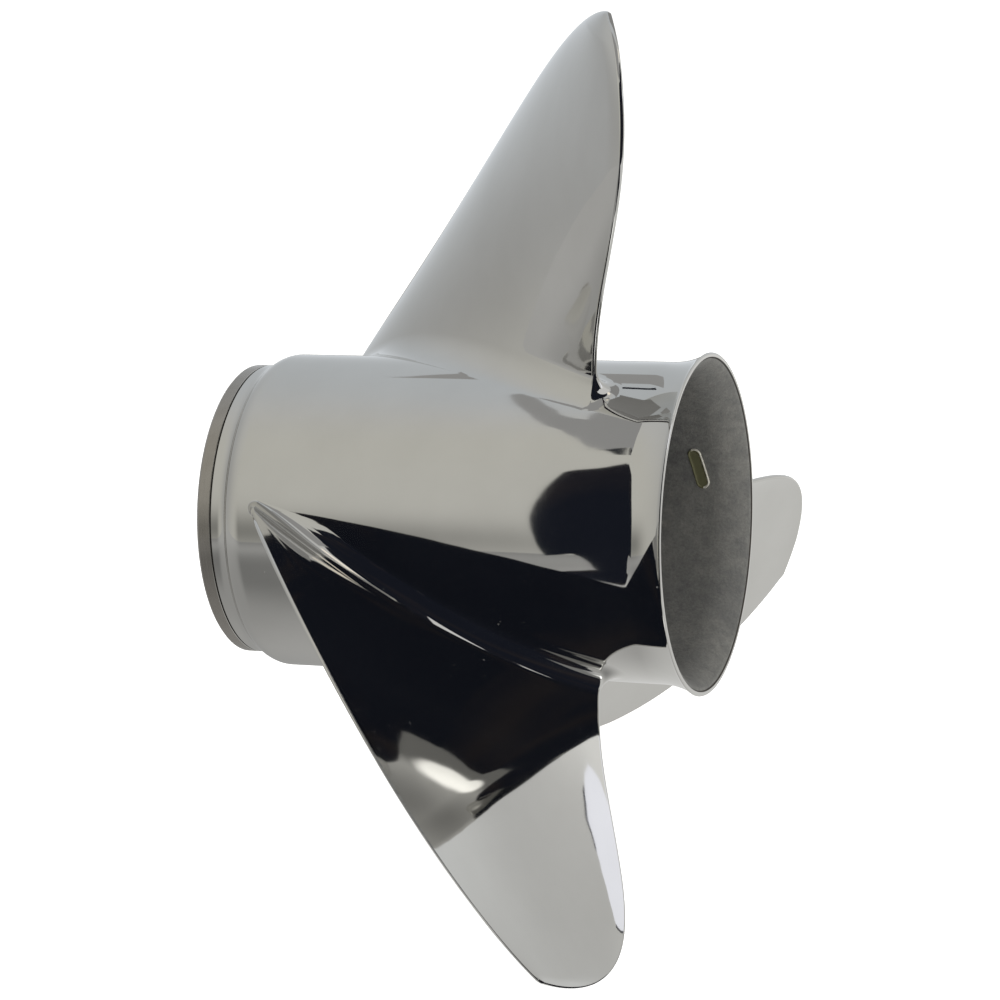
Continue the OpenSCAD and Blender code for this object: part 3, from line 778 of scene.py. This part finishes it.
# %% Camera
CAMERA_PLACE = Vector((415.5, -952.2, 330.2)) * MM
CAMERA_AZIMUTH = math.radians(20.24)
CAMERA_ELEVATION = math.radians(17.73)
CAMERA_ROLL = math.radians(-4.39)
camera_data = bpy.data.cameras.new("camera")
camera_data.lens = 118.9
camera_data.sensor_width = 36.0
camera_data.clip_end = 50.0
camera = bpy.data.objects.new("camera", camera_data)
bpy.context.scene.collection.objects.link(camera)
look_round = Matrix.Rotation(CAMERA_AZIMUTH, 4, "Z")
look_down = Matrix.Rotation(math.pi / 2 - CAMERA_ELEVATION, 4, "X")
tip_over = Matrix.Rotation(CAMERA_ROLL, 4, "Z")
camera.matrix_world = Matrix.Translation(CAMERA_PLACE) @ look_round @ look_down @ tip_over
bpy.context.scene.camera = camera
print(f"camera {CAMERA_PLACE.length:.2f} m from the origin")

# %% [markdown]
# A mirror shows its surroundings, so the studio matters as much as the finish.
# Polished metal is shot inside a light tent: pale cloth all round, open at the front for the lens.
# The cloth gives the soft greys, and the dark room behind the opening gives the black reflections.
# Only reflections see the tent; the lens sees a plain white floor and a white backdrop.
# The propeller is held by its shaft, so the floor lies a little lower than the blades reach as it twists.

# %% Floor and backdrop
scene = bpy.context.scene
scene.view_settings.view_transform = "Standard"
table_z = cad_box[0][2]
TWIST_DIP = 15.0 * MM
floor_z = table_z - TWIST_DIP


def stage_mesh(name, points, faces, material, glow=None):
    """A stage piece from points in metres; glow is its brightness per point, kept as a colour attribute."""
    mesh = bpy.data.meshes.new(name)
    mesh.from_pydata(np.asarray(points).reshape(-1, 3).tolist(), [], faces)
    mesh.materials.append(material)
    if glow is not None:
        rgba = np.concatenate((glow, np.ones((len(glow), 1))), axis=1)
        colours = mesh.attributes.new("glow", "FLOAT_COLOR", "POINT")
        colours.data.foreach_set("color", rgba.ravel())
    piece = bpy.data.objects.new(name, mesh)
    scene.collection.objects.link(piece)
    return piece


def floor_paint():
    """Matt white floor paint, lifted by a little glow so that it joins the white backdrop."""
    material, tree, output, _ = new_material("studio_floor_white")
    diffuse = add(tree, "ShaderNodeBsdfDiffuse", None, {"Color": linear("#F4F4F3")})
    lift = add(tree, "ShaderNodeEmission", None, {"Color": linear("#FFFFFF"), "Strength": 0.55})
    both = add(tree, "ShaderNodeAddShader", None, {0: (diffuse, "BSDF"), 1: (lift, "Emission")})
    tree.links.new(both.outputs["Shader"], output.inputs["Surface"])
    return material


floor_half = 6.0
floor_corners = [(x * floor_half, y * floor_half, floor_z) for x, y in ((-1, -1), (1, -1), (1, 1), (-1, 1))]
stage_mesh("floor", floor_corners, [(0, 1, 2, 3)], floor_paint())

world = bpy.data.worlds.new("studio")
scene.world = world
world.use_nodes = True
sky = world.node_tree
sky.nodes.clear()
sky_output = add(sky, "ShaderNodeOutputWorld")
path = add(sky, "ShaderNodeLightPath")
mirrored = add(sky, "ShaderNodeMath", {"operation": "MAXIMUM"}, {
    0: (path, "Is Glossy Ray"), 1: (path, "Is Transmission Ray"),
})
in_view = add(sky, "ShaderNodeMath", {"operation": "MAXIMUM"}, {
    0: (path, "Is Camera Ray"), 1: (mirrored, "Value"),
})
backdrop = add(sky, "ShaderNodeBackground", None, {"Color": linear("#FFFFFF"), "Strength": 1.0})
room_light = add(sky, "ShaderNodeBackground", None, {"Color": linear("#F2F1EE"), "Strength": 0.75})
seen = add(sky, "ShaderNodeMixShader", None, {
    0: (in_view, "Value"), 1: (room_light, "Background"), 2: (backdrop, "Background"),
})
sky.links.new(seen.outputs["Shader"], sky_output.inputs["Surface"])
print("floor at", round(floor_z, 4), "m")

# %% [markdown]
# The tent is a dome of cloth. Its brightness is a formula of direction: an even grey with a few soft spots.
# Lamps behind real cloth would give the same, but take many more samples to come out clean in a mirror.

# %% Light tent
TENT_CENTRE = np.array((0.05, 0.0, 0.0))
TENT_RADIUS = 1.2
TENT_ROWS = 40
TENT_COLUMNS = 120
TENT_LOWEST = -8.0
TENT_TOP = 89.5
CLOTH_LEVEL = 0.60
SHADE_AZIMUTH = -27
SHADE_WIDTH = 15
# Soft spots of the cloth: gain, place (azimuth, elevation) and width, both in degrees.
cloth_spots = (
    (-0.17, (-100, 5), (40, 28)),  # dimmer on the left
    (-0.33, (SHADE_AZIMUTH, 2), (SHADE_WIDTH, 12)),  # shade beside the opening
    (0.20, (-168, -6), (30, 15)),  # glow behind the left shoulder
    (0.12, (152, 10), (10, 12)),  # glow behind on the right
    (0.30, (95, 45), (24, 20)),  # window lamp at the right
)
NEUTRAL_TINT = np.array((1.0, 1.0, 0.985))
WARM_TINT = np.array((1.01, 1.0, 0.93))
COOL_TINT = np.array((0.95, 1.0, 1.05))
WARM_AZIMUTH = -40
COOL_AZIMUTH = -160
TINT_WIDTH = 45


def glow_paint(name):
    """Cloth that shines with the brightness stored at each point of its mesh."""
    material, tree, output, _ = new_material(name)
    stored = add(tree, "ShaderNodeAttribute", {"attribute_name": "glow"})
    light = add(tree, "ShaderNodeEmission", None, {"Color": (stored, "Color"), "Strength": 1.0})
    tree.links.new(light.outputs["Emission"], output.inputs["Surface"])
    return material


def soft_spot(azimuth, elevation, place, width):
    """Bell-shaped spot: exp of minus the squared distance from its place, each way in units of its width."""
    across = (azimuth - place[0] + 180) % 360 - 180
    return np.exp(-(across / width[0]) ** 2 - ((elevation - place[1]) / width[1]) ** 2)


def tent_glow(azimuth, elevation):
    """Brightness and tint of the cloth by direction; azimuth 0 is the side of the lens, 90 is aft."""
    spots = [gain * soft_spot(azimuth, elevation, place, width) for gain, place, width in cloth_spots]
    level = CLOTH_LEVEL + sum(spots)
    warm = soft_spot(azimuth, 0, (WARM_AZIMUTH, 0), (TINT_WIDTH, 1))[:, None]
    cool = soft_spot(azimuth, 0, (COOL_AZIMUTH, 0), (TINT_WIDTH, 1))[:, None]
    tint = mix(mix(NEUTRAL_TINT, WARM_TINT, warm), COOL_TINT, cool)
    return level[:, None] * tint


def directions(azimuth_deg, elevation_deg):
    """Unit vectors: azimuth counts from the side of the lens towards aft, elevation from level upwards."""
    a, e = np.radians(azimuth_deg), np.radians(elevation_deg)
    return np.stack((np.sin(a) * np.cos(e), -np.cos(a) * np.cos(e), np.sin(e)), axis=-1)


def hide_from_lens(piece):
    """Leave a stage piece to reflections alone."""
    piece.visible_camera = False
    piece.visible_diffuse = False
    piece.visible_shadow = False


cloth = glow_paint("tent_cloth_white")
azimuth, elevation = np.meshgrid(
    np.linspace(-180, 180, TENT_COLUMNS, endpoint=False), np.linspace(TENT_LOWEST, TENT_TOP, TENT_ROWS))
azimuth, elevation = azimuth.ravel(), elevation.ravel()
dome = TENT_CENTRE + TENT_RADIUS * directions(azimuth, elevation)
dome_quads = ring_quads(TENT_ROWS, TENT_COLUMNS).tolist()
tent = stage_mesh("light_tent", dome, dome_quads, cloth, tent_glow(azimuth, elevation))
hide_from_lens(tent)
print("tent points:", len(dome))

# %% [markdown]
# The cloth continues under the propeller as a table top, in the propeller's own shade on the left
# and bright on the right. Its points lie closer together near the propeller, where its image is largest.

# %% Table top of the tent
LEFT_LEVEL = 0.36
RIGHT_GAIN = 0.33
FAR_LEFT_GAIN = 0.12
RING_SHADE = 0.14
FAR_SHADE = 0.13
STRIP_LEVEL = 0.22
BRIGHT_GAIN = 1.5
# Pools of light and shade on the table top: gain, place and width, both in metres.
barrel_shade = (-0.40, (0.13, -0.06), (0.05, 0.055))
rim_light = (0.08, (-0.03, -0.02), (0.05, 0.05))
bright_pool = (1.0, (0.177, -0.132), (0.026, 0.027))
back_light = (0.15, (0.35, 0.48), (0.18, 0.18))


def smooth_step(low, high, value):
    """0 at low, 1 at high and beyond, with an S-shaped blend between: t squared times (3 - 2 t)."""
    t = np.clip((value - low) / (high - low), 0, 1)
    return t * t * (3 - 2 * t)


def pool(x, y, gain, place, width):
    """Bell-shaped pool: gain times exp of minus the squared distance, each way in units of its width."""
    return gain * np.exp(-((x - place[0]) / width[0]) ** 2 - ((y - place[1]) / width[1]) ** 2)


def table_glow(x, y):
    """Brightness of the table top: dim on the left, bright on the right, with shade and pools of light."""
    right = smooth_step(-0.05, 0.10, x)
    far_left = (1 - right) * smooth_step(-0.15, -0.65, x)
    level = LEFT_LEVEL + RIGHT_GAIN * right + FAR_LEFT_GAIN * far_left
    level = level + pool(x, y, *barrel_shade)
    # Shade beside the opening: a ring near the propeller and the far edge.
    distance = np.hypot(x, y)
    ring = smooth_step(0.06, 0.2, distance) * smooth_step(0.6, 0.28, distance)
    far = smooth_step(0.6, 1.1, distance)
    direction = np.degrees(np.arctan2(x, -y - 0.05))
    beside_opening = soft_spot(direction, 0, (SHADE_AZIMUTH, 0), (SHADE_WIDTH, 1))
    level = level - (RING_SHADE * ring + FAR_SHADE * far) * beside_opening
    # Light under the front rim, the shaded strip in front of the near blade and the bright pool on it.
    level = level + pool(x, y, *rim_light)
    strip = smooth_step(-0.115, -0.15, y) * smooth_step(0.08, 0.11, x) * smooth_step(0.26, 0.22, x)
    level = mix(level, STRIP_LEVEL, strip)
    level = level + BRIGHT_GAIN * smooth_step(0.25, 0.6, pool(x, y, *bright_pool))
    level = level + pool(x, y, *back_light)
    return level[:, None] * NEUTRAL_TINT


TABLE_POINTS = 161
TABLE_HALF = 1.5
TABLE_CENTRE = (0.15, -0.12)
TABLE_LIFT = 0.0005
EVEN_SHARE = 0.16
even = np.linspace(-1, 1, TABLE_POINTS)
closer = TABLE_HALF * (EVEN_SHARE * even + (1 - EVEN_SHARE) * even ** 3)
table_x, table_y = np.meshgrid(TABLE_CENTRE[0] + closer, TABLE_CENTRE[1] + closer)
table_x, table_y = table_x.ravel(), table_y.ravel()
table_points = np.stack((table_x, table_y, np.full_like(table_x, table_z + TABLE_LIFT)), axis=-1)
first = (np.arange(TABLE_POINTS - 1)[:, None] * TABLE_POINTS + np.arange(TABLE_POINTS - 1)).ravel()
table_faces = np.stack((first, first + 1, first + TABLE_POINTS + 1, first + TABLE_POINTS), axis=-1)
table = stage_mesh("tent_table", table_points, table_faces.tolist(), cloth, table_glow(table_x, table_y))
hide_from_lens(table)
print("table points:", len(table_points))

# %% [markdown]
# The dark shapes in the reflection are the unlit side of the room, behind the lens.
# Each is a card whose outline is listed, so that its mirror image has the right edge.
# Modelling the room itself would cost far more and show no more than these edges.

# %% Dark room and its cards


def dark_room_paint():
    """The unlit room: nearly black with a trace of blue, and faint brown streaks of furniture."""
    material, tree, output, place = new_material("room_unlit")
    tall = add(tree, "ShaderNodeMapping", None, {"Vector": place, "Scale": (1.0, 1.0, 0.2)})
    streaks = add(tree, "ShaderNodeTexNoise", None, {
        "Vector": (tall, "Vector"), "Scale": per_mm(60), "Detail": 2.0,
    })
    apart = ramp(add(tree, "ShaderNodeValToRGB", None, {"Fac": (streaks, "Fac")}), (0.5, 0.0), (0.75, 1.0))
    tone = add(tree, "ShaderNodeMix", {"data_type": "RGBA"}, {
        "Factor": (apart, "Color"), "A": linear("#191C25"), "B": linear("#2A2729"),
    })
    light = add(tree, "ShaderNodeEmission", None, {"Color": (tone, "Result"), "Strength": 1.0})
    tree.links.new(light.outputs["Emission"], output.inputs["Surface"])
    return material


def card(name, points, material, glow):
    """One face through points in metres, seen by reflections alone; glow is its colour, if it is cloth."""
    levels = None if glow is None else np.tile(glow, (len(points), 1))
    hide_from_lens(stage_mesh(name, points, [tuple(range(len(points)))], material, levels))


def flat_card(name, outline_mm, axis, place, material, glow=None):
    """A flat card: its outline gives two coordinates in millimetres, and place (metres) is put in at axis."""
    card(name, np.insert(np.array(outline_mm) * MM, axis, place, axis=1), material, glow)


def sky_card(name, seen_from, outline_deg, material, glow=None):
    """A card a metre away from one place on the propeller, its outline in degrees (azimuth, elevation)."""
    azimuth_deg, elevation_deg = np.array(outline_deg, dtype=float).T
    card(name, np.array(seen_from) + directions(azimuth_deg, elevation_deg), material, glow)


dark_room = dark_room_paint()
print("dark paint:", dark_room.name)

# %% [markdown]
# Closest in front is the tent's tall dark opening, with the unlit floor of the room below it.
# The opening's left edge makes the sharp black shape on the barrel, and the floor darkens the near blade.

# %% Dark opening
OPENING_Y = -0.20
FLOOR_LIFT = 0.001
table_mm = table_z / MM
opening_outline = (
    (47, -12.5), (43, 27), (37.5, 72), (32, 127), (16.5, 234), (20, 282), (20, 330), (60, 420), (300, 600),
    (900, 600), (900, table_mm), (212, table_mm), (212, -90), (140, -90), (140, table_mm), (75, table_mm),
    (71.3, -52.8), (68.4, -57.5), (65.4, -54), (63, -24), (60, -11.6), (56.6, -6),
)
room_floor_outline = (
    (115, -130), (122, -100), (135, -120), (145, -160), (155, -200), (180, -300), (190, -300), (205, -250),
    (212, -180), (900, -200), (900, -1300), (-10, -1300), (-10, -360), (70, -220),
)
flat_card("tent_opening", opening_outline, 1, OPENING_Y, dark_room)
flat_card("room_floor", room_floor_outline, 2, table_z + FLOOR_LIFT, dark_room)
print("opening outline:", len(opening_outline), "points, floor outline:", len(room_floor_outline), "points")

# %% [markdown]
# Overhead run the grey beams of the tent's frame. They draw the grey shapes near the root of the upper blade.
# A pale card hangs lower, just aft of the lip.

# %% Frame of the tent
BEAM_Z = 0.5
NEAR_Z = 0.106
BEAM_GLOW = (0.34, 0.34, 0.34)
FAR_BEAM_GLOW = (0.36, 0.36, 0.36)
PANEL_GLOW = (0.3, 0.3, 0.3)
NEAR_GLOW = (0.75, 0.75, 0.75)
beam_outline = (
    (-100, 240), (-82, 186), (-71, 137), (-59, 77), (-55, 46), (-48, 21), (-41, 13), (-41, 70), (50, 70),
    (180, 20), (180, -200), (50, -200), (-31, -181), (-45, -204), (-49, -116), (-54, -72), (-61, -44),
    (-71, 40), (-83, 112), (-100, 222),
)
beam_end_outline = ((-45, -204), (-43, -215), (-42, -238), (-38, -235), (-31, -181), (-38, -192))
beam_gap_outline = ((-135, 375), (-50, 330), (-40, 345), (-120, 400))
far_beam_outline = ((-220, 460), (-50, 430), (-50, 750), (-220, 750))
near_outline = ((137, -80), (175, -60), (175, 20), (137, 20))
panel_outline = ((30, 150), (280, 150), (280, 600), (30, 600))
flat_card("tent_beam", beam_outline, 2, BEAM_Z, cloth, BEAM_GLOW)
flat_card("tent_beam_end", beam_end_outline, 2, BEAM_Z, dark_room)
flat_card("tent_beam_gap", beam_gap_outline, 2, BEAM_Z, dark_room)
flat_card("tent_beam_far", far_beam_outline, 2, BEAM_Z, cloth, FAR_BEAM_GLOW)
flat_card("near_card", near_outline, 2, NEAR_Z, cloth, NEAR_GLOW)
flat_card("tent_panel", panel_outline, 2, BEAM_Z, cloth, PANEL_GLOW)
print("beams at", BEAM_Z, "m")

# %% [markdown]
# The rest of the room is farther off, so its cards are laid out as directions from a place on the near blade:
# its nose, its root, and its trailing edge, which shows a strip of bright window.

# %% Room seen in the near blade
NOSE_PLACE = (0.025, -0.05, 0.012)
ROOT_PLACE = (0.045, -0.053, -0.01)
EDGE_PLACE = (0.115, -0.07, -0.07)
LAMP_GLOW = (1.2, 1.1, 0.95)
WINDOW_GLOW = (1.1, 1.12, 1.22)
front_outline = ((-13, 3), (12, 3), (14, 50), (-10, 48))
ceiling_outline = (
    (30, 40), (60, 36), (70, 43), (80, 46), (92, 48.5), (108, 46), (110, 60), (106, 65), (98, 70), (60, 72),
    (35, 71),
)
lamp_outline = ((111, 58), (127, 60), (132, 66), (120, 70), (111, 66))
window_outline = (
    (92, 40), (95, 43), (100, 42.5), (107, 39.5), (112, 36), (116, 32), (119, 28), (121, 24), (123, 18),
    (112, 18),
)
frame_outline = ((114, 34.2), (116.3, 32.3), (119.4, 28.2), (121.4, 24), (121, 24), (119, 28), (116, 32))
sky_card("room_front", NOSE_PLACE, front_outline, dark_room)
sky_card("room_ceiling", ROOT_PLACE, ceiling_outline, dark_room)
sky_card("ceiling_lamp", ROOT_PLACE, lamp_outline, cloth, LAMP_GLOW)
sky_card("window_bright", EDGE_PLACE, window_outline, cloth, WINDOW_GLOW)
sky_card("window_frame", EDGE_PLACE, frame_outline, dark_room)
print("cards around", NOSE_PLACE, ROOT_PLACE, EDGE_PLACE)

# %% [markdown]
# Two soft lamps light the matt pieces and lay a shadow on the floor. They stay out of the reflections,
# where the tent has already painted their glow.

# %% Lamps
LAMP_AIM = Vector((0.05, 0, 0))
LAMP_SIZE = 0.8


def soft_lamp(name, place, watts):
    """A square area lamp aimed at the middle of the barrel, left out of reflections."""
    data = bpy.data.lights.new(name, "AREA")
    data.shape = "SQUARE"
    data.size = LAMP_SIZE
    data.energy = watts
    lamp = bpy.data.objects.new(name, data)
    lamp.location = place
    lamp.rotation_euler = (LAMP_AIM - Vector(place)).to_track_quat("-Z", "Y").to_euler()
    lamp.visible_glossy = False
    scene.collection.objects.link(lamp)
    print(f"{name}: {watts} W at {place}")


soft_lamp("window_lamp", (1.0, -0.2, 1.1), 9)
soft_lamp("fill_lamp", (-0.8, -0.9, 0.9), 6)
